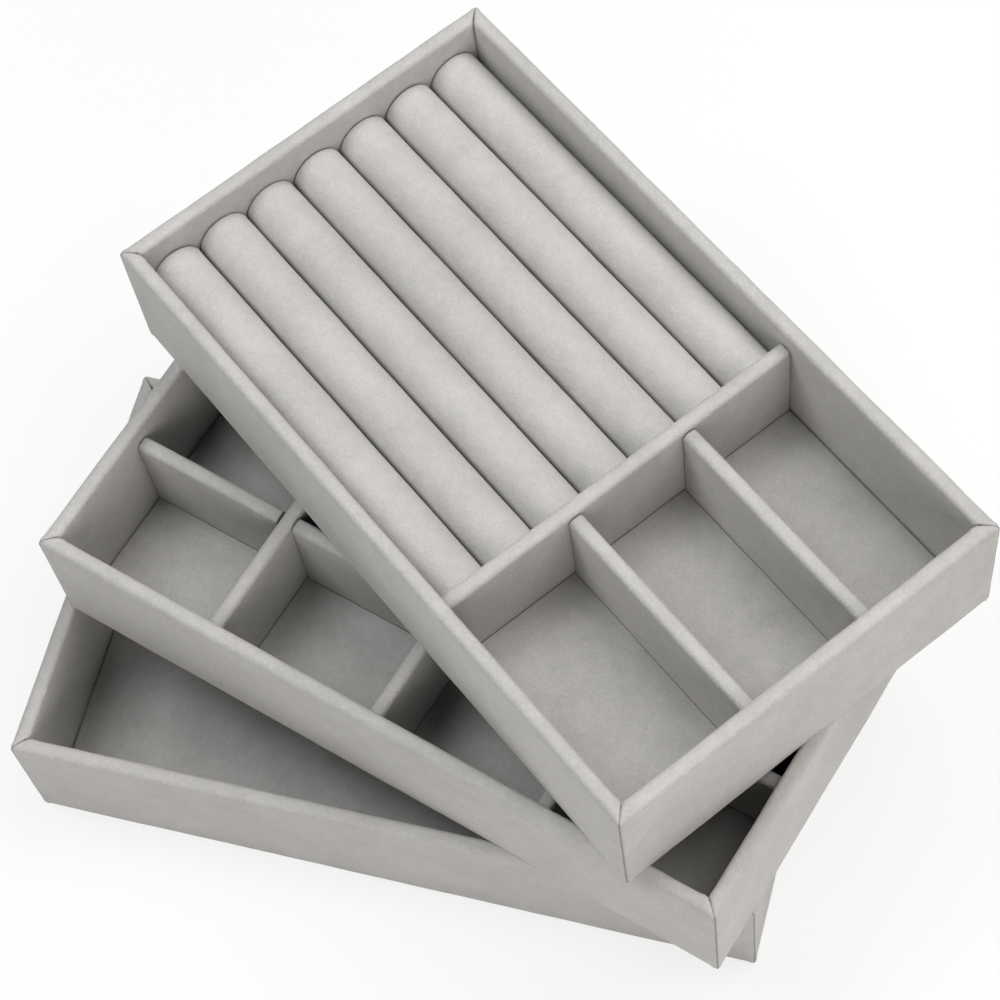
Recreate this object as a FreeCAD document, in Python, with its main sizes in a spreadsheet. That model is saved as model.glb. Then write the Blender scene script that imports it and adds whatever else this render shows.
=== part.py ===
import FreeCAD, Part
import math
import os
import Sketcher

# Three equal velvet-covered jewelry trays, stacked and fanned out.
# Each tray is a mitred frame of four covered wall boards round a base board,
# with a padded floor. The top tray holds seven ring rolls and three bins,
# the middle tray a grid of crossing dividers, and the bottom tray is open.
# Origin: centre of the bottom tray's underside. +X along its length, +Z up.

doc = FreeCAD.newDocument("jewelry_trays")

# Driving dimensions, in millimetres and degrees

SIZES = [
    ("tray_length", 240),
    ("tray_width", 138),
    ("tray_height", 48),
    ("velvet", 0.7),
    ("wall_board", 3.6),
    ("rim_round", 2.0),
    ("base_board", 3.0),
    ("floor_pad", 2.3),
    ("floor_pad_round", 0.6),
    ("fit_clearance", 0.3),
    ("divider_board", 3.6),
    ("divider_round", 2.0),
    ("divider_height", 35.6),
    ("bin_divider_drop", 1.0),
    ("bin_length", 78.2),
    ("first_bin_width", 43.5),
    ("second_bin_width", 37.5),
    ("ring_bed_height", 14.2),
    ("roll_height", 18.6),
    ("roll_crown", 8.0),
    ("roll_gap", 0.4),
    ("bay_slack", 1.4),
    ("lap_clearance", 0.2),
    ("middle_shift_x", 18.6),
    ("middle_shift_y", 13.2),
    ("middle_turn", 17),
    ("top_shift_x", 32.2),
    ("top_shift_y", 43.9),
    ("top_turn", 37),
]
ROLL_COUNT = 7
GRID_ROWS = 3
GRID_COLUMNS = 4

sheet = doc.addObject("Spreadsheet::Sheet", "sizes")
for row, (alias, number) in enumerate(SIZES, start=1):
    sheet.set(f"A{row}", alias)
    sheet.set(f"B{row}", str(number))
    sheet.setAlias(f"B{row}", alias)
doc.recompute()


class Size:
    """A length as its number and as the expression that gives it from the sheet."""

    def __init__(self, value, text):
        self.value = value
        self.text = text

    def join(self, sign, other, value):
        return Size(value, f"({self.text} {sign} {as_size(other).text})")

    def __add__(self, other):
        return self.join("+", other, self.value + as_size(other).value)

    def __sub__(self, other):
        return self.join("-", other, self.value - as_size(other).value)

    def __mul__(self, other):
        return self.join("*", other, self.value * as_size(other).value)

    def __truediv__(self, other):
        return self.join("/", other, self.value / as_size(other).value)

    def __neg__(self):
        return Size(-self.value, f"(-1 * {self.text})")

    def root(self):
        return Size(math.sqrt(self.value), f"sqrt({self.text})")


def as_size(number):
    return number if isinstance(number, Size) else Size(number, repr(number))


def size(alias):
    return Size(float(sheet.get(alias)), f"sizes.{alias}")


# Sizes that follow from the driving ones

NOTHING = as_size(0)
VELVET = size("velvet")
HALF_LENGTH = size("tray_length") / 2
HALF_WIDTH = size("tray_width") / 2
HEIGHT = size("tray_height")
CLEAR = size("fit_clearance")
WALL = size("wall_board") + VELVET * 2
BASE_TOP = VELVET + size("base_board")
FLOOR = BASE_TOP + size("floor_pad")
INNER_HALF_LENGTH = HALF_LENGTH - WALL
INNER_HALF_WIDTH = HALF_WIDTH - WALL
DIVIDER = size("divider_board") + VELVET * 2
DIVIDER_TOP = FLOOR + size("divider_height")
BAY_END = INNER_HALF_LENGTH - size("bin_length") - DIVIDER

# Where each tray stands: shift of its centre, height of its underside, turn about +Z

POSES = {
    "bottom": (NOTHING, NOTHING, NOTHING, NOTHING),
    "middle": (size("middle_shift_x"), size("middle_shift_y"), HEIGHT, -size("middle_turn")),
    "top": (size("top_shift_x"), size("top_shift_y"), HEIGHT * 2, -size("top_turn")),
}

parts = []


# Sketch and feature helpers


def bind(thing, path, length):
    thing.setExpression(path, length.text)


def new_body(name, tray, is_node=True):
    body = doc.addObject("PartDesign::Body", name)
    body.Label = name
    body.Placement.Rotation = FreeCAD.Rotation(FreeCAD.Vector(0, 0, 1), POSES[tray][3].value)
    for path, length in zip(("Base.x", "Base.y", "Base.z", "Rotation.Angle"), POSES[tray]):
        bind(body, f"Placement.{path}", length)
    if is_node:
        parts.append(body)
    return body


def new_sketch(body, role, offset):
    sketch = body.newObject("Sketcher::SketchObject", f"{body.Name}_sketch")
    plane = next(f for f in body.Origin.OriginFeatures if f.Role == role)
    sketch.AttachmentSupport = [(plane, "")]
    sketch.MapMode = "FlatFace"
    bind(sketch, "AttachmentOffset.Base.z", offset)
    return sketch


def pin_point(sketch, line, end, point):
    """Holds one end of a line at a point given by two sizes."""
    for kind, length in zip(("DistanceX", "DistanceY"), point):
        ends = (-1, 1, line, end) if length.value >= 0 else (line, end, -1, 1)
        positive = length if length.value >= 0 else -length
        index = sketch.addConstraint(Sketcher.Constraint(kind, *ends, positive.value))
        bind(sketch, f"Constraints[{index}]", positive)


def draw_polygon(sketch, points):
    corners = [FreeCAD.Vector(x.value, y.value, 0) for x, y in points]
    lines = [Part.LineSegment(a, b) for a, b in zip(corners, corners[1:] + corners[:1])]
    first = sketch.addGeometry(lines)[0]
    for i, point in enumerate(points):
        after = first + (i + 1) % len(points)
        sketch.addConstraint(Sketcher.Constraint("Coincident", first + i, 2, after, 1))
        pin_point(sketch, first + i, 1, point)


def rectangle(x_low, x_high, y_low, y_high):
    return [(x_low, y_low), (x_high, y_low), (x_high, y_high), (x_low, y_high)]


def pad(body, sketch, length):
    feature = body.newObject("PartDesign::Pad", f"{body.Name}_pad")
    feature.Profile = sketch
    bind(feature, "Length", length)
    doc.recompute()
    return feature


def pocket(body, sketch, length):
    """Cuts from the sketch's plane along the plane's own normal, and checks that it cut."""
    before = body.Shape.Volume
    feature = body.newObject("PartDesign::Pocket", f"{body.Name}_pocket")
    feature.Profile = sketch
    feature.Reversed = True
    bind(feature, "Length", length)
    doc.recompute()
    if not body.Shape.Volume < before:
        raise ValueError(f"{body.Label}: a pocket cut nothing")


def plan_pad(body, points, low, high):
    sketch = new_sketch(body, "XY_Plane", low)
    draw_polygon(sketch, points)
    return pad(body, sketch, high - low)


def plan_pocket(body, points, low, high):
    sketch = new_sketch(body, "XY_Plane", low)
    draw_polygon(sketch, points)
    pocket(body, sketch, high - low)


def round_top(body, level, radius, along):
    """Rounds the body's straight edges at one height that run along the given local axis."""
    slack = 1e-4
    shape = body.Tip.Shape
    names = []
    for i, edge in enumerate(shape.Edges, start=1):
        a, b = (v.Point for v in edge.Vertexes)
        level_edge = abs(a.z - level.value) < slack and abs(b.z - level.value) < slack
        runs_along = abs((b - a).y if along == "x" else (b - a).x) < slack
        if level_edge and runs_along:
            names.append(f"Edge{i}")
    feature = body.newObject("PartDesign::Fillet", f"{body.Name}_round")
    feature.Base = (body.Tip if body.Tip is not feature else feature.BaseFeature, names)
    bind(feature, "Radius", radius)
    doc.recompute()


# Tray shell


def wall_plan(side, low, high):
    """Mitred plan of a wall between two depths, counted inwards from the outer face."""
    half = HALF_LENGTH if side in ("front", "back") else HALF_WIDTH
    ends = [(-(half - low), low), (half - low, low), (half - high, high), (-(half - high), high)]
    place = {
        "front": lambda along, depth: (along, depth - HALF_WIDTH),
        "back": lambda along, depth: (-along, HALF_WIDTH - depth),
        "left": lambda along, depth: (depth - HALF_LENGTH, -along),
        "right": lambda along, depth: (HALF_LENGTH - depth, along),
    }[side]
    return [place(along, depth) for along, depth in ends]


def make_wall(tray, side):
    """A wall board and the velvet that is wrapped over its rim and down both faces."""
    along = "x" if side in ("front", "back") else "y"
    board_plan = wall_plan(side, VELVET, WALL - VELVET)
    board_top = HEIGHT - VELVET

    board = new_body(f"{tray}_{side}_wall_board", tray)
    plan_pad(board, board_plan, VELVET, board_top)
    round_top(board, board_top, size("rim_round") - VELVET, along)

    cover = new_body(f"{tray}_{side}_wall_cover", tray)
    plan_pad(cover, wall_plan(side, NOTHING, WALL), NOTHING, HEIGHT)
    plan_pocket(cover, board_plan, NOTHING, board_top)
    plan_pocket(cover, wall_plan(side, VELVET, WALL + VELVET), NOTHING, BASE_TOP)
    round_top(cover, HEIGHT, size("rim_round"), along)
    round_top(cover, board_top, size("rim_round") - VELVET, along)


def make_slab(tray, name, half_x, half_y, low, high):
    slab = new_body(f"{tray}_{name}", tray)
    plan_pad(slab, rectangle(-half_x, half_x, -half_y, half_y), low, high)
    return slab


def make_shell(tray):
    skin_x, skin_y = HALF_LENGTH - VELVET, HALF_WIDTH - VELVET
    make_slab(tray, "base_sheet", skin_x, skin_y, NOTHING, VELVET)
    board_x, board_y = INNER_HALF_LENGTH + VELVET, INNER_HALF_WIDTH + VELVET
    make_slab(tray, "base_board", board_x, board_y, VELVET, BASE_TOP)
    pad_x, pad_y = INNER_HALF_LENGTH - CLEAR, INNER_HALF_WIDTH - CLEAR
    floor = make_slab(tray, "floor_pad", pad_x, pad_y, BASE_TOP, FLOOR)
    round_top(floor, FLOOR, size("floor_pad_round"), "x")
    for side in ("front", "back", "left", "right"):
        make_wall(tray, side)


# Dividers


def make_divider(tray, name, along, middle, low, high, top, slots=(), slot_low=None, slot_high=None,
                 board_is_node=True):
    """A divider board with velvet over its top and both faces, halved over its crossings."""
    half, half_board = DIVIDER / 2, size("divider_board") / 2
    half_slot = half + size("lap_clearance")

    def plan(from_along, to_along, half_across, centre):
        if along == "x":
            return rectangle(from_along, to_along, centre - half_across, centre + half_across)
        return rectangle(centre - half_across, centre + half_across, from_along, to_along)

    board_top = top - VELVET
    board = new_body(f"{tray}_{name}_board", tray, board_is_node)
    plan_pad(board, plan(low, high, half_board, middle), FLOOR, board_top)
    round_top(board, board_top, size("divider_round") - VELVET, along)
    cover = new_body(f"{tray}_{name}_cover", tray)
    plan_pad(cover, plan(low, high, half, middle), FLOOR, top)
    plan_pocket(cover, plan(low, high, half_board, middle), FLOOR, board_top)
    round_top(cover, top, size("divider_round"), along)
    round_top(cover, board_top, size("divider_round") - VELVET, along)
    for centre in slots:
        slot = plan(centre - half_slot, centre + half_slot, DIVIDER, middle)
        plan_pocket(board, slot, slot_low, slot_high)
        plan_pocket(cover, slot, slot_low, slot_high)
    return board


def make_top_dividers():
    reach = INNER_HALF_WIDTH - CLEAR
    make_divider("top", "cross_divider", "y", BAY_END + DIVIDER / 2, -reach, reach, DIVIDER_TOP)
    bin_start = BAY_END + DIVIDER + CLEAR
    bin_end = INNER_HALF_LENGTH - CLEAR
    bin_top = DIVIDER_TOP - size("bin_divider_drop")
    first = size("first_bin_width") - INNER_HALF_WIDTH + DIVIDER / 2
    second = first + size("second_bin_width") + DIVIDER
    for number, middle in enumerate((first, second), start=1):
        make_divider("top", f"bin_divider_{number}", "x", middle, bin_start, bin_end, bin_top)


def make_grid():
    """Long dividers slotted from above and cross dividers slotted from below, halved together."""
    row_pitch = (INNER_HALF_WIDTH * 2 + DIVIDER) / GRID_ROWS
    column_pitch = (INNER_HALF_LENGTH * 2 + DIVIDER) / GRID_COLUMNS
    rows = [row_pitch * i - INNER_HALF_WIDTH - DIVIDER / 2 for i in range(1, GRID_ROWS)]
    columns = [column_pitch * i - INNER_HALF_LENGTH - DIVIDER / 2 for i in range(1, GRID_COLUMNS)]
    lap = FLOOR + size("divider_height") / 2
    over = DIVIDER_TOP + VELVET
    boards = []
    for number, middle in enumerate(rows, start=1):
        reach = INNER_HALF_LENGTH - CLEAR
        boards.append(make_divider("middle", f"long_divider_{number}", "x", middle, -reach, reach,
                                   DIVIDER_TOP, columns, lap, over, False))
    for number, middle in enumerate(columns, start=1):
        reach = INNER_HALF_WIDTH - CLEAR
        boards.append(make_divider("middle", f"cross_divider_{number}", "y", middle, -reach, reach,
                                   DIVIDER_TOP, rows, FLOOR - VELVET, lap, False))
    group = doc.addObject("Part::Compound", "middle_divider_boards")
    group.Label = "middle_divider_boards"
    group.Links = boards
    parts.append(group)


# Ring bay


def draw_roll(sketch, half_width, low, shoulder, radius, crest, middle):
    """Flat base, upright sides and a crowned top, about an upright centre line."""
    left, right = middle - half_width, middle + half_width
    corners = [(left, shoulder), (left, low), (right, low), (right, shoulder)]
    ends = [FreeCAD.Vector(x.value, y.value, 0) for x, y in corners]
    top = FreeCAD.Vector(middle.value, crest.value, 0)
    lines = [Part.LineSegment(a, b) for a, b in zip(ends, ends[1:])]
    first = sketch.addGeometry([*lines, Part.Arc(ends[3], top, ends[0])])[0]
    arc = first + 3
    for i in range(2):
        sketch.addConstraint(Sketcher.Constraint("Coincident", first + i, 2, first + i + 1, 1))
    sketch.addConstraint(Sketcher.Constraint("Coincident", arc, 1, first + 2, 2))
    sketch.addConstraint(Sketcher.Constraint("Coincident", arc, 2, first, 1))
    for i in range(3):
        pin_point(sketch, first + i, 1, corners[i])
    pin_point(sketch, first + 2, 2, corners[3])
    index = sketch.addConstraint(Sketcher.Constraint("Radius", arc, radius.value))
    bind(sketch, f"Constraints[{index}]", radius)


def make_ring_bay():
    start = CLEAR - INNER_HALF_LENGTH
    end = BAY_END - CLEAR
    reach = INNER_HALF_WIDTH - CLEAR
    bed_top = FLOOR + size("ring_bed_height")
    bed = new_body("top_ring_bed", "top")
    plan_pad(bed, rectangle(start, end, -reach, reach), FLOOR, bed_top)

    pitch = (INNER_HALF_WIDTH * 2 - size("bay_slack")) / ROLL_COUNT
    half_width = (pitch - size("roll_gap")) / 2
    crown = size("roll_crown")
    radius = (half_width * half_width + crown * crown) / (crown * 2)
    crest = bed_top + size("roll_height")
    core_half = half_width - VELVET
    core_radius = radius - VELVET
    core_shoulder = crest - radius + (core_radius * core_radius - core_half * core_half).root()
    for number in range(1, ROLL_COUNT + 1):
        middle = pitch * (number - 0.5) - INNER_HALF_WIDTH
        foam = (core_half, bed_top + VELVET, core_shoulder, core_radius, crest - VELVET, middle)
        sleeve = (half_width, bed_top, crest - crown, radius, crest, middle)

        core = new_body(f"ring_roll_{number}_foam", "top")
        sketch = new_sketch(core, "YZ_Plane", start)
        draw_roll(sketch, *foam)
        pad(core, sketch, end - start)

        skin = new_body(f"ring_roll_{number}_sleeve", "top")
        sketch = new_sketch(skin, "YZ_Plane", start)
        draw_roll(sketch, *sleeve)
        pad(skin, sketch, end - start)
        sketch = new_sketch(skin, "YZ_Plane", start)
        draw_roll(sketch, *foam)
        pocket(skin, sketch, end - start)


for tray in POSES:
    make_shell(tray)
make_top_dividers()
make_ring_bay()
make_grid()
doc.recompute()

# Checks, then one STEP file for each piece

for thing in doc.Objects:
    if "Invalid" in thing.State or "Error" in thing.State:
        raise ValueError(f"{thing.Label} failed: {thing.State}")
for part in parts:
    if part.Shape.isNull() or not part.Shape.isValid():
        raise ValueError(f"{part.Label} has no valid shape")

os.makedirs("parts", exist_ok=True)
for part in parts:
    part.Shape.exportStep(f"parts/{part.Label}.step")
print(f"{len(parts)} pieces written")
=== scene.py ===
import bpy
import math
from mathutils import Matrix, Vector


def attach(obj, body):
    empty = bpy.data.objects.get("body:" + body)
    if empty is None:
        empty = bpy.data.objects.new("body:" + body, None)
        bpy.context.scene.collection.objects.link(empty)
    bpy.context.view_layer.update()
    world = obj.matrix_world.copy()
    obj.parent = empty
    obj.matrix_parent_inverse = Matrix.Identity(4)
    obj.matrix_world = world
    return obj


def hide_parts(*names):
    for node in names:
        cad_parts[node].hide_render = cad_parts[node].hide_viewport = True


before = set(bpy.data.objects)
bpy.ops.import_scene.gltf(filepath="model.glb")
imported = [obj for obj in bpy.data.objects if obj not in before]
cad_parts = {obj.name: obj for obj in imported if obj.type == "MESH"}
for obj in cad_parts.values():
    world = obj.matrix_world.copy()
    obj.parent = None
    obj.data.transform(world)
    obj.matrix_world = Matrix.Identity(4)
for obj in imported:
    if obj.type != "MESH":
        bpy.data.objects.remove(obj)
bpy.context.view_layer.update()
print("frame loaded:", len(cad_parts), "nodes")

tray = {  # metres, the same for all three trays
    "length": 0.240,
    "width": 0.138,
    "height": 0.048,
    "wall": 0.005,
    "floorLow": 0.0037,
    "floorTop": 0.006,
    "dividerTop": 0.0416,
    "divider": 0.005,
    "gap": 0.0003,
}
places = {  # centre of the underside, then the turn about the upright in degrees
    "bottom": (0.0, 0.0, 0.0, 0.0),
    "middle": (0.0186, 0.0132, 0.048, -17.0),
    "top": (0.0322, 0.0439, 0.096, -37.0),
}
insideX = tray["length"] / 2 - tray["wall"]
insideY = tray["width"] / 2 - tray["wall"]
facing = 0.9  # a normal with this share along an axis faces that way


# modelling helpers

def deselectAll():
    if bpy.context.object and bpy.context.object.mode != "OBJECT":
        bpy.ops.object.mode_set(mode="OBJECT")
    bpy.ops.object.select_all(action="DESELECT")


def makeActive(piece):
    deselectAll()
    piece.select_set(True)
    bpy.context.view_layer.objects.active = piece


def addBlock(name, low, high):
    deselectAll()
    bpy.ops.mesh.primitive_cube_add(size=1, location=[(a + b) / 2 for a, b in zip(low, high)])
    block = bpy.context.object
    block.name = name
    block.scale = [b - a for a, b in zip(low, high)]
    bpy.ops.object.transform_apply(location=True, rotation=True, scale=True)
    return block


def pickVerts(piece, test):
    bpy.ops.object.mode_set(mode="EDIT")
    bpy.ops.mesh.select_mode(type="VERT")
    bpy.ops.mesh.select_all(action="DESELECT")
    bpy.ops.object.mode_set(mode="OBJECT")
    for vert in piece.data.vertices:
        vert.select = test(vert.co)
    bpy.ops.object.mode_set(mode="EDIT")


def pickEdges(piece, test):
    bpy.ops.object.mode_set(mode="EDIT")
    bpy.ops.mesh.select_mode(type="EDGE")
    bpy.ops.mesh.select_all(action="DESELECT")
    bpy.ops.object.mode_set(mode="OBJECT")
    verts = piece.data.vertices
    for edge in piece.data.edges:
        edge.select = test(verts[edge.vertices[0]].co, verts[edge.vertices[1]].co)
    bpy.ops.object.mode_set(mode="EDIT")


def pickFaces(piece, test):
    bpy.ops.object.mode_set(mode="EDIT")
    bpy.ops.mesh.select_mode(type="FACE")
    bpy.ops.mesh.select_all(action="DESELECT")
    bpy.ops.object.mode_set(mode="OBJECT")
    for face in piece.data.polygons:
        face.select = test(face.center, face.normal)
    bpy.ops.object.mode_set(mode="EDIT")


def roundEdges(width, steps):  # in edit mode, on the picked edges
    bpy.ops.mesh.bevel(offset=width, segments=steps, profile=0.5, affect="EDGES")


def near(a, b, slack=1e-5):
    return abs(a - b) < slack


def cutAcross(point, normal, **options):  # through the whole mesh
    bpy.ops.object.mode_set(mode="EDIT")
    bpy.ops.mesh.select_all(action="SELECT")
    bpy.ops.mesh.bisect(plane_co=point, plane_no=normal, **options)
    bpy.ops.object.mode_set(mode="OBJECT")


def evenCuts(low, high, count):
    return [low + (high - low) * (i + 1) / (count + 1) for i in range(count)]


def copyPiece(master, name):
    piece = master.copy()
    piece.data = master.data.copy()
    piece.name = name
    bpy.context.collection.objects.link(piece)
    return piece


def putAt(piece, matrix):
    makeActive(piece)
    piece.matrix_world = matrix
    bpy.ops.object.transform_apply(location=True, rotation=True, scale=True)


def trayMatrix(trayName):
    x, y, z, turn = places[trayName]
    return Matrix.Translation((x, y, z)) @ Matrix.Rotation(math.radians(turn), 4, "Z")


def roughen(piece, grain, amount, name):  # slow unevenness of cloth over its filling
    pattern = bpy.data.textures.new(name, "CLOUDS")
    pattern.noise_scale = grain
    pattern.noise_depth = 1
    makeActive(piece)
    bump = piece.modifiers.new("uneven", "DISPLACE")
    bump.texture = pattern
    bump.texture_coords = "LOCAL"
    bump.strength = amount
    bump.mid_level = 0.5
    bpy.ops.object.modifier_apply(modifier=bump.name)


def thicken(piece, amount):
    makeActive(piece)
    shell = piece.modifiers.new("cloth", "SOLIDIFY")
    shell.thickness = amount
    shell.offset = -1
    bpy.ops.object.modifier_apply(modifier=shell.name)


def paintShadeAndSeams(piece, rule):  # darker seams, and painted shade in creases, joins and grooves, 0 to 1 at each vertex
    paintedShadeAndSeams = piece.data.attributes.new("paintedShadeAndSeams", "FLOAT", "POINT")
    for vert, value in zip(piece.data.vertices, paintedShadeAndSeams.data):
        value.value = max(0.0, min(1.0, rule(vert.co)))


def fade(value, full, none):  # 1 at full, 0 at none
    return max(0.0, min(1.0, (none - value) / (none - full)))


def smooth(piece, degrees=45):
    makeActive(piece)
    bpy.ops.object.shade_smooth_by_angle(angle=math.radians(degrees))


def finishPiece(piece, body, slot, material, *nodes):
    piece.data.materials.clear()
    piece.data.materials.append(material)
    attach(piece, body)
    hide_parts(*nodes)


def dropMaster(master):
    makeActive(master)
    bpy.ops.object.delete()


# materials

def newGroup(name, inputs, outputs):
    group = bpy.data.node_groups.new(name, "ShaderNodeTree")
    for label, kind in inputs:
        group.interface.new_socket(name=label, in_out="INPUT", socket_type=kind)
    for label, kind in outputs:
        group.interface.new_socket(name=label, in_out="OUTPUT", socket_type=kind)
    nodes = group.nodes
    return group, nodes.new("NodeGroupInput"), nodes.new("NodeGroupOutput")


def addNoise(group, vector, scale, detail):
    noise = group.nodes.new("ShaderNodeTexNoise")
    noise.inputs["Scale"].default_value = scale
    noise.inputs["Detail"].default_value = detail
    group.links.new(vector, noise.inputs["Vector"])
    return noise.outputs["Fac"]


def addRange(group, value, low, high):  # low becomes 0 and high becomes 1
    remap = group.nodes.new("ShaderNodeMapRange")
    remap.inputs["From Min"].default_value = low
    remap.inputs["From Max"].default_value = high
    group.links.new(value, remap.inputs["Value"])
    return remap.outputs["Result"]


def addMath(group, kind, a, b):
    sumNode = group.nodes.new("ShaderNodeMath")
    sumNode.operation = kind
    for socket, value in zip(sumNode.inputs, (a, b)):
        if isinstance(value, (int, float)):
            socket.default_value = value
        else:
            group.links.new(value, socket)
    return sumNode.outputs[0]


def addMix(group, factor, a, b):
    mix = group.nodes.new("ShaderNodeMix")
    mix.data_type = "RGBA"
    group.links.new(factor, mix.inputs[0])
    for socket, value in ((mix.inputs[6], a), (mix.inputs[7], b)):  # the two colour sockets
        if isinstance(value, tuple):
            socket.default_value = value
        else:
            group.links.new(value, socket)
    return mix.outputs[2]


napLayers = {  # each noise, the range kept of it, and its shares of the tone and the height
    "brushed": {"detail": 3, "distortion": 0.8, "low": 0.32, "high": 0.68, "tone": 0.26},
    "mottle": {"scale": 260, "detail": 3, "low": 0.3, "high": 0.7, "tone": 0.20, "height": 0.15},
    "grain": {"scale": 1100, "detail": 2, "low": 0.28, "high": 0.72, "tone": 0.32, "height": 0.4},
    "tips": {"scale": 2600, "detail": 2, "tone": 0.22, "height": 0.45},
}


def buildNap():  # short pile: brushed patches, fine mottling and single fibre tips
    group, given, made = newGroup(
        "shortNap",
        [("Place", "NodeSocketVector"), ("Light", "NodeSocketColor"), ("Dark", "NodeSocketColor"),
         ("Painted Shade Tone", "NodeSocketColor"), ("Patch Scale", "NodeSocketFloat"), ("Painted Shade And Seams", "NodeSocketFloat")],
        [("Color", "NodeSocketColor"), ("Height", "NodeSocketFloat")])
    place = given.outputs["Place"]
    patches = group.nodes.new("ShaderNodeTexNoise")
    patches.inputs["Detail"].default_value = napLayers["brushed"]["detail"]
    patches.inputs["Distortion"].default_value = napLayers["brushed"]["distortion"]
    group.links.new(place, patches.inputs["Vector"])
    group.links.new(given.outputs["Patch Scale"], patches.inputs["Scale"])
    layers = {"brushed": patches.outputs["Fac"]}
    for name in ("mottle", "grain", "tips"):
        layers[name] = addNoise(group, place, napLayers[name]["scale"], napLayers[name]["detail"])
    for name in ("brushed", "mottle", "grain"):
        layers[name] = addRange(group, layers[name], napLayers[name]["low"], napLayers[name]["high"])
    tone = 0.0
    for name, layer in layers.items():
        share = addMath(group, "MULTIPLY", layer, napLayers[name]["tone"])
        tone = addMath(group, "ADD", share, tone)
    pile = addMix(group, tone, given.outputs["Dark"], given.outputs["Light"])
    # mix toward the painted shade tone where the mask marks seams and shaded creases
    withPaintedShade = addMix(group, given.outputs["Painted Shade And Seams"], pile, given.outputs["Painted Shade Tone"])
    group.links.new(withPaintedShade, made.inputs["Color"])
    height = 0.0
    for name in ("tips", "grain", "mottle"):
        share = addMath(group, "MULTIPLY", layers[name], napLayers[name]["height"])
        height = addMath(group, "ADD", share, height)
    group.links.new(height, made.inputs["Height"])
    return group


napGroup = buildNap()


def newMaterial(name):
    material = bpy.data.materials.new(name)
    material.use_nodes = True
    tree = material.node_tree
    return material, tree, tree.nodes["Principled BSDF"]


def addBump(tree, shader, height, strength, distance):
    bump = tree.nodes.new("ShaderNodeBump")
    bump.inputs["Strength"].default_value = strength
    bump.inputs["Distance"].default_value = distance
    tree.links.new(height, bump.inputs["Height"])
    tree.links.new(bump.outputs["Normal"], shader.inputs["Normal"])


velvetFinish = {  # the same for every velvet
    "rough": 0.95,
    "specular": 0.15,
    "sheenRough": 0.45,
    "sheenTint": (1.0, 0.98, 0.95, 1),
    "bumpDepth": 0.0004,
}
# the darkest colour of each look is its painted shade tone, for creases, joins and seams
velvetLooks = {
    "walls": {"name": "velvetWalls", "light": (0.577, 0.568, 0.555, 1), "dark": (0.393, 0.386, 0.375, 1),
              "paintedShadeTone": (0.10, 0.097, 0.092, 1), "patchScale": 38.0, "sheen": 0.25, "bump": 0.6},
    "floors": {"name": "velvetFloors", "light": (0.54, 0.53, 0.517, 1), "dark": (0.36, 0.353, 0.342, 1),
               "paintedShadeTone": (0.09, 0.087, 0.083, 1), "patchScale": 46.0, "sheen": 0.2, "bump": 0.65},
    "rolls": {"name": "velvetRolls", "light": (0.584, 0.574, 0.567, 1), "dark": (0.406, 0.398, 0.392, 1),
              "paintedShadeTone": (0.08, 0.078, 0.074, 1), "patchScale": 34.0, "sheen": 0.25, "bump": 0.6},
}


def buildVelvet(look):
    material, tree, shader = newMaterial(look["name"])
    coords = tree.nodes.new("ShaderNodeTexCoord")
    nap = tree.nodes.new("ShaderNodeGroup")
    nap.node_tree = napGroup
    nap.inputs["Light"].default_value = look["light"]
    nap.inputs["Dark"].default_value = look["dark"]
    nap.inputs["Painted Shade Tone"].default_value = look["paintedShadeTone"]
    nap.inputs["Patch Scale"].default_value = look["patchScale"]
    # the mask of seams and painted shade, written on each piece
    paintedShadeAndSeams = tree.nodes.new("ShaderNodeAttribute")
    paintedShadeAndSeams.attribute_name = "paintedShadeAndSeams"
    tree.links.new(paintedShadeAndSeams.outputs["Fac"], nap.inputs["Painted Shade And Seams"])
    tree.links.new(coords.outputs["Object"], nap.inputs["Place"])
    tree.links.new(nap.outputs["Color"], shader.inputs["Base Color"])
    shader.inputs["Roughness"].default_value = velvetFinish["rough"]
    shader.inputs["Specular IOR Level"].default_value = velvetFinish["specular"]
    shader.inputs["Sheen Weight"].default_value = look["sheen"]
    shader.inputs["Sheen Roughness"].default_value = velvetFinish["sheenRough"]
    shader.inputs["Sheen Tint"].default_value = velvetFinish["sheenTint"]
    addBump(tree, shader, nap.outputs["Height"], look["bump"], velvetFinish["bumpDepth"])
    return material


velvet = {use: buildVelvet(look) for use, look in velvetLooks.items()}

plainFinish = {  # the same for felt, board and foam
    "grainDetail": 4,
    "broadDetail": 2,
    "broadTimes": 12,  # broad patches are this many times larger than the grain
    "grainShare": 0.6,
    "broadShare": 0.4,
    "low": 0.35,
    "high": 0.65,
    "specular": 0.2,
    "bumpDepth": 0.0004,
}
plainLooks = {
    "felt": {"name": "feltSheet", "light": (0.50, 0.485, 0.465, 1), "dark": (0.36, 0.35, 0.335, 1),
             "grain": 900, "rough": 0.97, "bump": 0.5},
    "board": {"name": "fibreBoard", "light": (0.33, 0.315, 0.29, 1), "dark": (0.22, 0.21, 0.19, 1),
              "grain": 1400, "rough": 0.85, "bump": 0.25},
    "foam": {"name": "openFoam", "light": (0.78, 0.75, 0.68, 1), "dark": (0.55, 0.52, 0.46, 1),
             "grain": 1100, "rough": 0.98, "bump": 0.6},
}


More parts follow.
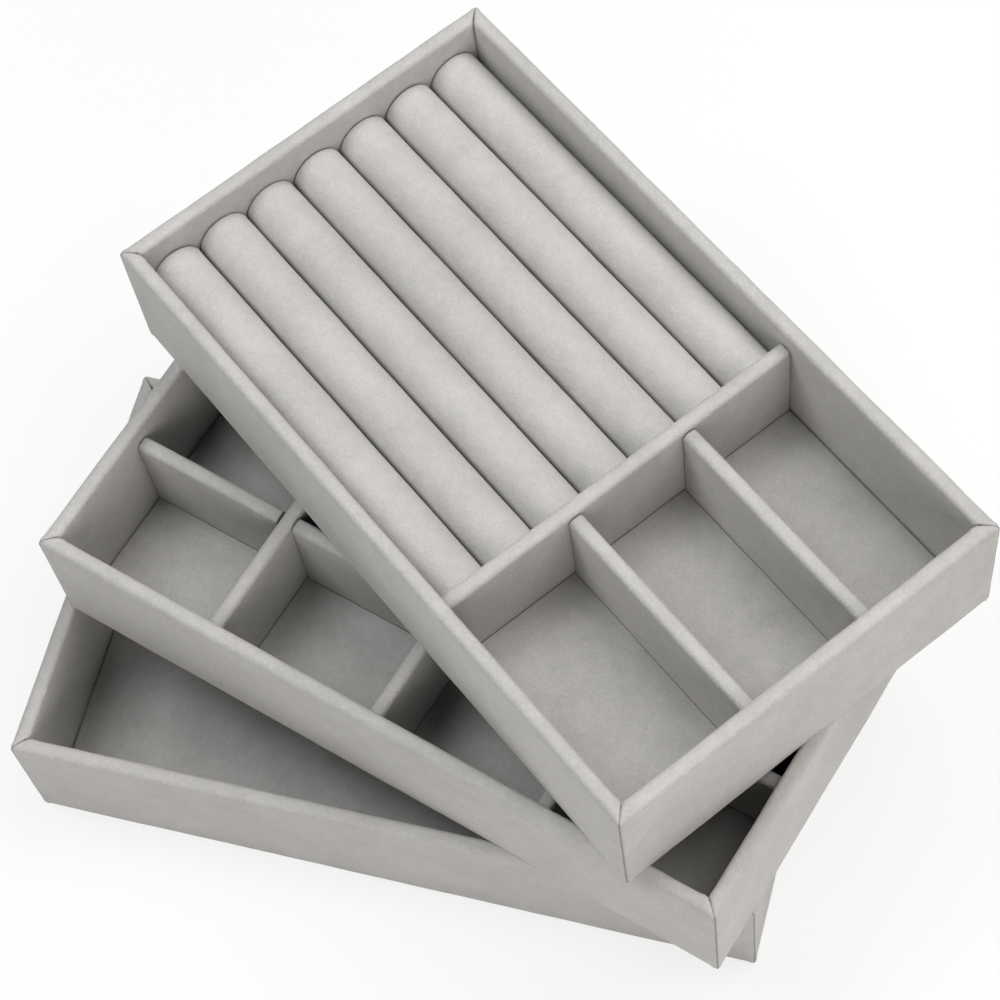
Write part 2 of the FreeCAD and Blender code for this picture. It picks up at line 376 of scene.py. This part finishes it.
def buildPlain(look):
    material, tree, shader = newMaterial(look["name"])
    place = tree.nodes.new("ShaderNodeTexCoord").outputs["Object"]
    grain = addNoise(tree, place, look["grain"], plainFinish["grainDetail"])
    broad = addNoise(tree, place, look["grain"] / plainFinish["broadTimes"], plainFinish["broadDetail"])
    fine = addMath(tree, "MULTIPLY", grain, plainFinish["grainShare"])
    coarse = addMath(tree, "MULTIPLY", broad, plainFinish["broadShare"])
    tone = addRange(tree, addMath(tree, "ADD", fine, coarse), plainFinish["low"], plainFinish["high"])
    tree.links.new(addMix(tree, tone, look["dark"], look["light"]), shader.inputs["Base Color"])
    shader.inputs["Roughness"].default_value = look["rough"]
    shader.inputs["Specular IOR Level"].default_value = plainFinish["specular"]
    addBump(tree, shader, grain, look["bump"], plainFinish["bumpDepth"])
    return material


plain = {use: buildPlain(look) for use, look in plainLooks.items()}
for nodeName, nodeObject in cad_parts.items():  # what stays from the frame
    if nodeName.endswith("base_sheet"):
        finish = plain["felt"]
    elif "board" in nodeName:
        finish = plain["board"]
    else:
        continue
    nodeObject.data.materials.clear()
    nodeObject.data.materials.append(finish)
print("materials made")


# wall covers: velvet wrapped over each board, mitred at the corners

cover = {
    "lift": 0.0001,  # hem above the underside
    "rimRound": 0.0019,
    "rimSteps": 5,
    "cloth": 0.0006,
    "runCuts": 34,
    "cutInset": 0.008,  # from the corners to the first and last cut
    "heightCuts": 5,
    "foldAt": (0.0004, 0.0010, 0.0019),  # loops beside the mitre
    "foldSlack": 2e-4,
    "foldRaise": 0.00022,
    "foldSink": -0.00030,
    "sinkSlack": 1e-4,
    "sinkTo": 0.9,  # share of the wall's thickness, so the inner corner stays closed
    # darker along the mitre seams, and painted shade in a line along the floor on the inner face
    "seamDark": 0.7,
    "seamFull": 0.0001,  # distances from the mitre
    "seamNone": 0.0004,
    "baseDark": 0.0007,  # height of the painted shade line above the floor, where the wall meets the pad
    "baseShade": 0.3,
    "innerSlack": 4e-4,
    "unevenGrain": 0.014,
    "uneven": 0.00035,
}
sideTurns = {"front": 0, "right": 90, "back": 180, "left": 270}


def mitreDepth(run, point):  # distance from the nearer mitre plane
    return (run / 2 - abs(point.x) - point.y) / math.sqrt(2)


def modelCover(run):
    thick, high, low = tray["wall"], tray["height"], cover["lift"]
    floorTop = tray["floorTop"]
    piece = addBlock("coverMaster", (-run / 2, 0, low), (run / 2, thick, high))
    pickFaces(piece, lambda centre, normal: abs(normal.x) > facing or normal.z < -facing)
    bpy.ops.mesh.delete(type="FACE")
    for end in (-1, 1):
        cutAcross((end * run / 2, 0, 0), (end, 1, 0), clear_outer=True)
    pickVerts(piece, lambda co: near(co.y, thick) and near(co.z, low))
    bpy.ops.transform.translate(value=(0, 0, tray["floorLow"] - low))
    reach = run / 2 - cover["cutInset"]
    for x in evenCuts(-reach, reach, cover["runCuts"]):
        cutAcross((x, 0, 0), (1, 0, 0))
    for end in (-1, 1):
        for depth in cover["foldAt"]:
            shift = depth * math.sqrt(2)
            cutAcross((end * (run / 2 - shift), 0, 0), (end, 1, 0))
    levels = evenCuts(tray["floorLow"], high - cover["rimRound"], cover["heightCuts"])
    for z in levels + [floorTop, floorTop + cover["baseDark"]]:
        cutAcross((0, 0, z), (0, 0, 1))
    pickEdges(piece, lambda a, b: near(a.z, high) and near(b.z, high) and near(a.y, b.y))
    roundEdges(cover["rimRound"], cover["rimSteps"])
    foldLoop = cover["foldAt"][1]
    pickVerts(piece, lambda co: near(mitreDepth(run, co), foldLoop, cover["foldSlack"]))
    bpy.ops.transform.shrink_fatten(value=cover["foldRaise"])
    sinkY = thick * cover["sinkTo"]
    pickVerts(piece, lambda co: mitreDepth(run, co) < cover["sinkSlack"] and co.y < sinkY)
    bpy.ops.transform.shrink_fatten(value=cover["foldSink"])
    bpy.ops.object.mode_set(mode="OBJECT")

    def darkened(co):  # darker along the mitre seams, and a painted shade line along the floor on the inner face
        seam = cover["seamDark"] * fade(mitreDepth(run, co), cover["seamFull"], cover["seamNone"])
        if not near(co.y, thick, cover["innerSlack"]):
            return seam
        return max(seam, cover["baseShade"] * fade(co.z, floorTop, floorTop + cover["baseDark"]))

    paintShadeAndSeams(piece, darkened)
    return piece


def sideMatrix(side):
    reach = tray["width"] / 2 if side in ("front", "back") else tray["length"] / 2
    turn = Matrix.Rotation(math.radians(sideTurns[side]), 4, "Z")
    return turn @ Matrix.Translation((0, -reach, 0))


coverMasters = {"long": modelCover(tray["length"]), "short": modelCover(tray["width"])}
for trayName in places:
    for side in sideTurns:
        master = coverMasters["long" if side in ("front", "back") else "short"]
        piece = copyPiece(master, f"{trayName}_{side}_velvet")
        putAt(piece, trayMatrix(trayName) @ sideMatrix(side))
        roughen(piece, cover["unevenGrain"], cover["uneven"], piece.name)
        thicken(piece, cover["cloth"])
        smooth(piece)
        finishPiece(piece, f"{trayName}_tray", "velvet", velvet["walls"], f"{trayName}_{side}_wall_cover")
for master in coverMasters.values():
    dropMaster(master)
print("wall covers done")


# floor pads

pad = {
    "round": 0.0005,
    "roundSteps": 3,
    # painted shade along the pad's edge, where it meets the walls
    "edgeShade": 0.3,
    "edgeFull": 0.0002,  # distances from the edge
    "edgeNone": 0.0008,
    "cutsX": 46,
    "cutsY": 26,
    "unevenGrain": 0.02,
    "uneven": 0.00045,
    "fill": 0.35,
}


def modelPad(name):
    halfX, halfY = insideX - tray["gap"], insideY - tray["gap"]
    top = tray["floorTop"]
    piece = addBlock(name, (-halfX, -halfY, tray["floorLow"]), (halfX, halfY, top))
    for x in evenCuts(-halfX, halfX, pad["cutsX"]):
        cutAcross((x, 0, 0), (1, 0, 0))
    for y in evenCuts(-halfY, halfY, pad["cutsY"]):
        cutAcross((0, y, 0), (0, 1, 0))

    def onRim(a, b):
        atEnd = near(abs(a.x), halfX) and near(abs(b.x), halfX)
        atSide = near(abs(a.y), halfY) and near(abs(b.y), halfY)
        return near(a.z, top) and near(b.z, top) and (atEnd or atSide)

    # painted shade along the edge, where the pad meets the walls
    def darkened(co):
        fromEdge = min(halfX - abs(co.x), halfY - abs(co.y))
        return pad["edgeShade"] * fade(fromEdge, pad["edgeFull"], pad["edgeNone"])

    pickEdges(piece, onRim)
    roundEdges(pad["round"], pad["roundSteps"])
    bpy.ops.object.mode_set(mode="OBJECT")
    paintShadeAndSeams(piece, darkened)
    return piece


padMaster = modelPad("padMaster")
for trayName in places:
    piece = copyPiece(padMaster, f"{trayName}_floor_velvet")
    putAt(piece, trayMatrix(trayName))
    roughen(piece, pad["unevenGrain"], pad["uneven"], piece.name)
    smooth(piece)
    finishPiece(piece, f"{trayName}_tray", "floor_velvet", velvet["floors"], f"{trayName}_floor_pad")
dropMaster(padMaster)
print("floor pads done")


# dividers

divider = {
    "sink": 0.0002,  # hem below the top of the floor pad
    "round": 0.0019,
    "roundSteps": 5,
    "endRound": 0.0005,
    "endSteps": 2,
    "endSlack": 1e-4,
    "cloth": 0.0006,
    "cutEvery": 0.006,
    "fewestCuts": 2,
    "cutInset": 0.0008,
    "heightCuts": 4,
    # painted shade at the ends and along the foot, where the divider meets the walls and the floor
    "endFull": 0.0001,  # distances from the ends
    "endNone": 0.0006,
    "footFull": 0.0004,  # heights above the hem
    "footNone": 0.0016,
    "unevenGrain": 0.012,
    "uneven": 0.0003,
}


def modelDivider(name, low, high, top):  # along x from low to high, centred on y, on the floor
    half = tray["divider"] / 2
    bottom = tray["floorTop"] - divider["sink"]
    footFull, footNone = bottom + divider["footFull"], bottom + divider["footNone"]
    piece = addBlock(name, (low, -half, bottom), (high, half, top))
    pickFaces(piece, lambda centre, normal: normal.z < -facing)
    bpy.ops.mesh.delete(type="FACE")
    pickEdges(piece, lambda a, b: near(a.z, top) and near(b.z, top) and near(a.y, b.y))
    roundEdges(divider["round"], divider["roundSteps"])
    inset = divider["endRound"] + divider["cutInset"]
    cuts = max(divider["fewestCuts"], int((high - low) / divider["cutEvery"]))
    for x in evenCuts(low + inset, high - inset, cuts):
        cutAcross((x, 0, 0), (1, 0, 0))

    def roundEnd(a, b):  # an end's outline, without its hem
        atEnd = near(a.x, low) or near(a.x, high)
        return near(a.x, b.x) and atEnd and max(a.z, b.z) > bottom + divider["endSlack"]

    def darkened(co):  # painted shade at both ends and along the foot, where it meets the walls and the floor
        fromEnd = min(co.x - low, high - co.x)
        ends = fade(fromEnd, divider["endFull"], divider["endNone"])
        return max(ends, fade(co.z, footFull, footNone))

    pickEdges(piece, roundEnd)
    roundEdges(divider["endRound"], divider["endSteps"])
    bpy.ops.object.mode_set(mode="OBJECT")
    levels = evenCuts(bottom, top - divider["round"], divider["heightCuts"])
    for z in levels + [footFull, footNone]:
        cutAcross((0, 0, z), (0, 0, 1))
    paintShadeAndSeams(piece, darkened)
    return piece


def dressDivider(piece, trayName, matrix, *nodes):
    putAt(piece, trayMatrix(trayName) @ matrix)
    roughen(piece, divider["unevenGrain"], divider["uneven"], piece.name)
    thicken(piece, divider["cloth"])
    smooth(piece)
    finishPiece(piece, f"{trayName}_tray", "velvet", velvet["walls"], *nodes)


def joinPieces(name, blocks):
    makeActive(blocks[0])
    for block in blocks:
        block.select_set(True)
    bpy.ops.object.join()
    blocks[0].name = name
    return blocks[0]


ringTray = {"binLength": 0.0782, "firstBin": 0.0435, "secondBin": 0.0375, "binDrop": 0.001}
bayEnd = insideX - ringTray["binLength"] - tray["divider"]
quarterTurn = Matrix.Rotation(math.radians(90), 4, "Z")
reachY = insideY - tray["gap"]
piece = modelDivider("top_cross_divider_velvet", -reachY, reachY, tray["dividerTop"])
crossX = bayEnd + tray["divider"] / 2
dressDivider(piece, "top", Matrix.Translation((crossX, 0, 0)) @ quarterTurn, "top_cross_divider_cover")
binY = ringTray["firstBin"] - insideY + tray["divider"] / 2
binStart = bayEnd + tray["divider"] + tray["gap"]
for number, y in enumerate((binY, binY + ringTray["secondBin"] + tray["divider"]), start=1):
    piece = modelDivider(f"top_bin_divider_{number}_velvet", binStart, insideX - tray["gap"],
                         tray["dividerTop"] - ringTray["binDrop"])
    dressDivider(piece, "top", Matrix.Translation((0, y, 0)), f"top_bin_divider_{number}_cover")

grid = {"rows": 3, "columns": 4, "lap": 0.0002}
rowPitch = (2 * insideY + tray["divider"]) / grid["rows"]
columnPitch = (2 * insideX + tray["divider"]) / grid["columns"]
columnsX = [columnPitch * i - insideX - tray["divider"] / 2 for i in range(grid["columns"] + 1)]
rowsY = [rowPitch * i - insideY - tray["divider"] / 2 for i in range(grid["rows"] + 1)]
halfGap = tray["divider"] / 2 + grid["lap"]
for number, x in enumerate(columnsX[1:-1], start=1):
    piece = modelDivider(f"middle_cross_divider_{number}_velvet", -reachY, reachY, tray["dividerTop"])
    dressDivider(piece, "middle", Matrix.Translation((x, 0, 0)) @ quarterTurn,
                 f"middle_cross_divider_{number}_cover")
for number, y in enumerate(rowsY[1:-1], start=1):
    segments = []
    for left, right in zip(columnsX, columnsX[1:]):
        segments.append(modelDivider("segment", left + halfGap, right - halfGap, tray["dividerTop"]))
    piece = joinPieces(f"middle_long_divider_{number}_velvet", segments)
    dressDivider(piece, "middle", Matrix.Translation((0, y, 0)), f"middle_long_divider_{number}_cover")
print("dividers done")


# ring bay: foam bed and seven rolls

bed = {"top": 0.0202, "round": 0.0006, "roundSteps": 2, "cuts": 20, "fill": 0.7}
bayLow, bayHigh = tray["gap"] - insideX, bayEnd - tray["gap"]


def onBedEdge(a, b):  # the upper rim and the upright corners
    atTop = near(a.z, bed["top"]) and near(b.z, bed["top"])
    upright = near(a.x, b.x) and near(a.y, b.y)
    return atTop or upright


piece = addBlock("top_ring_bed_foam", (bayLow, -reachY, tray["floorTop"]), (bayHigh, reachY, bed["top"]))
pickEdges(piece, onBedEdge)
roundEdges(bed["round"], bed["roundSteps"])
for x in evenCuts(bayLow, bayHigh, bed["cuts"]):
    cutAcross((x, 0, 0), (1, 0, 0))
for y in evenCuts(-reachY, reachY, bed["cuts"]):
    cutAcross((0, y, 0), (0, 1, 0))
putAt(piece, trayMatrix("top"))
smooth(piece)
finishPiece(piece, "top_tray", "foam", plain["foam"], "top_ring_bed")

roll = {
    "count": 7,
    "high": 0.0186,
    "between": 0.0004,
    "slack": 0.0014,
    "sides": 72,
    "flatSlack": 1e-4,
    "endRound": 0.0004,
    "endSteps": 2,
    "endInset": 1.5,  # times the rounding, to the first and last cut
    "endClear": 0.9,  # share of that inset that stays free of the painted shade band
    "endShadeRim": 0.0006,  # width of the painted shade rim on the back end, against the back wall
    "shadeReach": 1.6,  # times the rounding, in from the roll's side
    "cuts": 44,
    "lightFrom": 0.0056,  # band of painted shade in the grooves between rolls, in depths below the crest
    "darkFrom": 0.0078,
    "darkTo": 0.0092,
    "lightTo": 0.0112,
    # strength of the painted shade in the grooves between rolls
    "grooveShade": 0.6,
    "backFull": 0.0001,  # distances from the back end
    "backNone": 0.0005,
    "smoothTo": 60,
    "unevenGrain": 0.022,
    "uneven": 0.0003,
    "fill": 0.85,
}
rollPitch = (2 * insideY - roll["slack"]) / roll["count"]
rollHalf = (rollPitch - roll["between"]) / 2
rollLength = bayHigh - bayLow


def modelRoll():
    axis = roll["high"] - rollHalf
    end = rollLength / 2
    inset = roll["endRound"] * roll["endInset"]
    deselectAll()
    bpy.ops.mesh.primitive_cylinder_add(vertices=roll["sides"], radius=rollHalf, depth=rollLength,
                                        location=(0, 0, axis), rotation=(0, math.radians(90), 0))
    piece = bpy.context.object
    bpy.ops.object.transform_apply(location=True, rotation=True, scale=True)
    cutAcross((0, 0, axis), (0, 0, -1), clear_outer=True, use_fill=True)
    pickFaces(piece, lambda centre, normal: normal.z < -facing and near(centre.z, axis, roll["flatSlack"]))
    bpy.ops.mesh.extrude_region_move(TRANSFORM_OT_translate={"value": (0, 0, -axis)})
    pickEdges(piece, lambda a, b: near(abs(a.x), end) and near(abs(b.x), end) and near(a.x, b.x))
    roundEdges(roll["endRound"], roll["endSteps"])
    pickFaces(piece, lambda centre, normal: normal.x < -facing and near(centre.x, -end))
    bpy.ops.mesh.inset(thickness=roll["endShadeRim"])
    for x in evenCuts(-end + inset, end - inset, roll["cuts"]) + [inset - end, end - inset]:
        cutAcross((x, 0, 0), (1, 0, 0))
    for depth in (roll["darkTo"], roll["lightTo"]):
        cutAcross((0, 0, roll["high"] - depth), (0, 0, 1))
    bpy.ops.object.mode_set(mode="OBJECT")

    def paintedGrooveShade(co):  # painted shade in the grooves between neighbouring rolls, and round the back end against the wall
        depth = roll["high"] - co.z
        upper = fade(depth, roll["darkFrom"], roll["lightFrom"])
        lower = fade(depth, roll["darkTo"], roll["lightTo"])
        onEnd = abs(co.x) > end - inset * roll["endClear"]
        band = 0.0 if onEnd else min(upper, lower) * roll["grooveShade"]
        onRim = math.hypot(co.y, co.z - axis) > rollHalf - roll["endRound"] * roll["shadeReach"]
        if depth >= roll["darkFrom"] or not onRim:
            return band
        return max(band, fade(end + co.x, roll["backFull"], roll["backNone"]))

    paintShadeAndSeams(piece, paintedGrooveShade)
    return piece


rollMaster = modelRoll()
for number in range(1, roll["count"] + 1):
    piece = copyPiece(rollMaster, f"ring_roll_{number}_velvet")
    y = rollPitch * (number - 0.5) - insideY
    putAt(piece, trayMatrix("top") @ Matrix.Translation(((bayLow + bayHigh) / 2, y, bed["top"])))
    roughen(piece, roll["unevenGrain"], roll["uneven"], piece.name)
    smooth(piece, roll["smoothTo"])
    finishPiece(piece, f"ring_roll_{number}", "roll_velvet", velvet["rolls"],
                f"ring_roll_{number}_sleeve", f"ring_roll_{number}_foam")
dropMaster(rollMaster)
print("ring rolls done")


# floor, light and camera

stageLook = {"size": 6.0, "drop": -0.0003, "tone": (0.93, 0.93, 0.93, 1), "rough": 0.9, "glow": 0.75}
deselectAll()
bpy.ops.mesh.primitive_plane_add(size=stageLook["size"], location=(0, 0, stageLook["drop"]))
floor = bpy.context.object
floor.name = "studioFloor"
material, tree, shader = newMaterial("paleFloor")
shader.inputs["Base Color"].default_value = stageLook["tone"]
shader.inputs["Roughness"].default_value = stageLook["rough"]
glow = tree.nodes.new("ShaderNodeEmission")
rays = tree.nodes.new("ShaderNodeLightPath")
seen = addMath(tree, "MULTIPLY", rays.outputs["Is Camera Ray"], stageLook["glow"])
blendNode = tree.nodes.new("ShaderNodeMixShader")
tree.links.new(seen, blendNode.inputs[0])
tree.links.new(shader.outputs[0], blendNode.inputs[1])
tree.links.new(glow.outputs[0], blendNode.inputs[2])
tree.links.new(blendNode.outputs[0], tree.nodes["Material Output"].inputs["Surface"])
floor.data.materials.append(material)

worldLook = {"tone": (1, 1, 1, 1), "ambient": 0.008}
world = bpy.data.worlds.new("studioWorld")
bpy.context.scene.world = world
world.use_nodes = True
worldTree = world.node_tree
ambient = worldTree.nodes["Background"]
ambient.inputs["Color"].default_value = worldLook["tone"]
ambient.inputs["Strength"].default_value = worldLook["ambient"]
backdrop = worldTree.nodes.new("ShaderNodeBackground")
rays = worldTree.nodes.new("ShaderNodeLightPath")
shown = addMath(worldTree, "MAXIMUM", rays.outputs["Is Camera Ray"], rays.outputs["Is Glossy Ray"])
blendNode = worldTree.nodes.new("ShaderNodeMixShader")
worldTree.links.new(shown, blendNode.inputs[0])
worldTree.links.new(ambient.outputs[0], blendNode.inputs[1])
worldTree.links.new(backdrop.outputs[0], blendNode.inputs[2])
worldTree.links.new(blendNode.outputs[0], worldTree.nodes["World Output"].inputs["Surface"])

lights = {
    "left": {"place": (-0.52, -0.05, 1.22), "power": 7.8, "size": 0.6, "tone": (0.985, 0.99, 1.0)},
    "right": {"place": (0.45, 0.40, 1.22), "power": 14.5, "size": 1.1, "tone": (1.0, 0.985, 0.96)},
    "front": {"place": (0.75, -1.15, 0.57), "power": 10.0, "size": 1.0, "tone": (1.0, 0.975, 0.94)},
}
target = Vector((0.02, 0.045, 0.06))  # about the middle of the stack
for lightName, setting in lights.items():
    deselectAll()
    bpy.ops.object.light_add(type="AREA", location=setting["place"])
    lamp = bpy.context.object
    lamp.name = lightName
    lamp.rotation_euler = (Vector(setting["place"]) - target).to_track_quat("Z", "Y").to_euler()
    lamp.data.energy = setting["power"]
    lamp.data.size = setting["size"]
    lamp.data.color = setting["tone"]

shot = {"place": (0.1817, -0.3258, 0.8567), "turn": (26.593, 4.972, 14.84), "lens": 100.8, "sensor": 36,
        "nearest": 0.01}
deselectAll()
bpy.ops.object.camera_add(location=shot["place"], rotation=[math.radians(a) for a in shot["turn"]])
camera = bpy.context.object
camera.name = "studioCamera"
camera.data.sensor_width = shot["sensor"]
camera.data.lens = shot["lens"]
camera.data.clip_start = shot["nearest"]
bpy.context.scene.camera = camera
bpy.context.scene.view_settings.view_transform = "Standard"
print("stage set")
